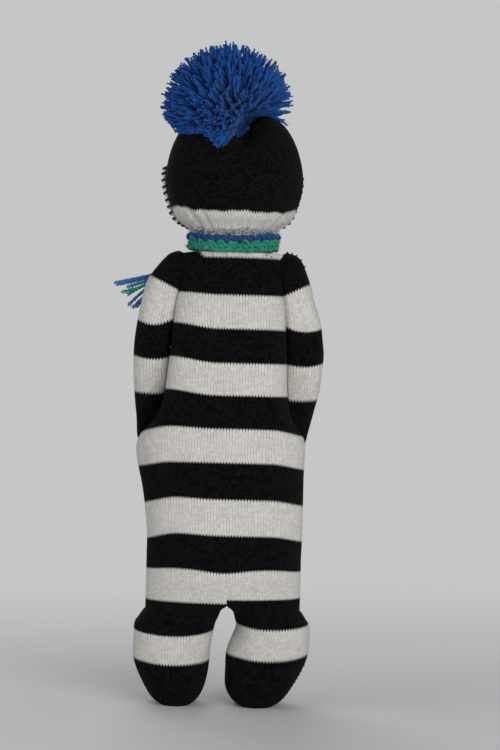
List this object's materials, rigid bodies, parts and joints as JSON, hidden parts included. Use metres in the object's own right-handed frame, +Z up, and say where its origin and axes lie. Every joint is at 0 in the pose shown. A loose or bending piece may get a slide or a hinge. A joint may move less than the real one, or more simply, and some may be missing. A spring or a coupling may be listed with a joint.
{
  "type": "stuffed sock doll",
  "caption": "Stuffed striped knit doll with two-lobed head, yarn pompom, fringed crochet scarf, and limbs and head that move.",
  "frame": {"origin": "on the floor under the middle of the whole doll's bounding box, scarf fringe included", "axes": "+Z up, the doll stands on its soles; it faces -Y, so its left side is towards +X"},
  "size_m": [0.1422, 0.1043, 0.3888],
  "materials": {
    "striped_knit": "matte",
    "black_knit": "matte",
    "fibre_fill": "matte",
    "white_felt": "matte",
    "pompom_yarn": "matte",
    "scarf_yarn": "matte",
    "fringe_blue": "matte",
    "fringe_green": "matte",
    "white_thread": "satin",
    "eye_button": "gloss"
  },
  "bodies": {
    "torso": {"torso_cover": "striped_knit", "torso_stuffing": "fibre_fill", "scarf_wrap": "scarf_yarn", "scarf_knot": "scarf_yarn"},
    "neck": {"neck_stuffing": "fibre_fill", "neck_gather_thread": "white_thread"},
    "head": {"head_cover": "black_knit", "head_stuffing": "fibre_fill", "pompom": "pompom_yarn", "pompom_tie": "pompom_yarn", "face_panel": "white_felt", "muzzle_cover": "black_knit", "muzzle_stuffing": "fibre_fill", "left_eye_button": "eye_button", "left_eye_thread": "white_thread", "right_eye_button": "eye_button", "right_eye_thread": "white_thread", "left_nostril": "white_thread", "right_nostril": "white_thread"},
    "left_arm": {"left_arm_cover": "striped_knit", "left_arm_stuffing": "fibre_fill"},
    "right_arm": {"right_arm_cover": "striped_knit", "right_arm_stuffing": "fibre_fill"},
    "left_leg": {"left_leg_cover": "striped_knit", "left_leg_stuffing": "fibre_fill"},
    "right_leg": {"right_leg_cover": "striped_knit", "right_leg_stuffing": "fibre_fill"},
    "left_tail": {"left_scarf_tail": "scarf_yarn", "left_fringe_1": "fringe_blue", "left_fringe_2": "fringe_green", "left_fringe_3": "fringe_blue", "left_fringe_4": "fringe_green", "left_fringe_5": "fringe_blue"},
    "right_tail": {"right_scarf_tail": "scarf_yarn", "right_fringe_1": "fringe_blue", "right_fringe_2": "fringe_green", "right_fringe_3": "fringe_blue", "right_fringe_4": "fringe_green", "right_fringe_5": "fringe_blue"}
  },
  "joints": [
    {"name": "neck_nod", "type": "hinge", "parent": "torso", "child": "neck", "pos_m": [-0.01581, 0.00595, 0.271], "axis": [1, 0, 0], "range_deg": [-25, 12], "deforming": ["scarf_wrap"]},
    {"name": "neck_turn", "type": "hinge", "parent": "neck", "child": "head", "pos_m": [-0.01581, 0.00595, 0.271], "axis": [0, 0, 1], "range_deg": [-60, 45]},
    {"name": "left_arm_raise", "type": "hinge", "parent": "torso", "child": "left_arm", "pos_m": [0.01519, 0.00595, 0.266], "axis": [0, -1, 0], "range_deg": [0, 80]},
    {"name": "right_arm_raise", "type": "hinge", "parent": "torso", "child": "right_arm", "pos_m": [-0.04681, 0.00595, 0.266], "axis": [0, 1, 0], "range_deg": [0, 80]},
    {"name": "left_leg_swing", "type": "hinge", "parent": "torso", "child": "left_leg", "pos_m": [0.01169, 0.00595, 0.087], "axis": [-1, 0, 0], "range_deg": [-30, 60]},
    {"name": "right_leg_swing", "type": "hinge", "parent": "torso", "child": "right_leg", "pos_m": [-0.04331, 0.00595, 0.087], "axis": [-1, 0, 0], "range_deg": [-30, 60]},
    {"name": "left_tail_swing", "type": "hinge", "parent": "torso", "child": "left_tail", "pos_m": [-0.01581, -0.02735, 0.26104], "axis": [0, 1, 0], "range_deg": [0, 80]},
    {"name": "right_tail_swing", "type": "hinge", "parent": "torso", "child": "right_tail", "pos_m": [-0.01581, -0.02235, 0.26104], "axis": [0, 1, 0], "range_deg": [0, 75]}
  ]
}
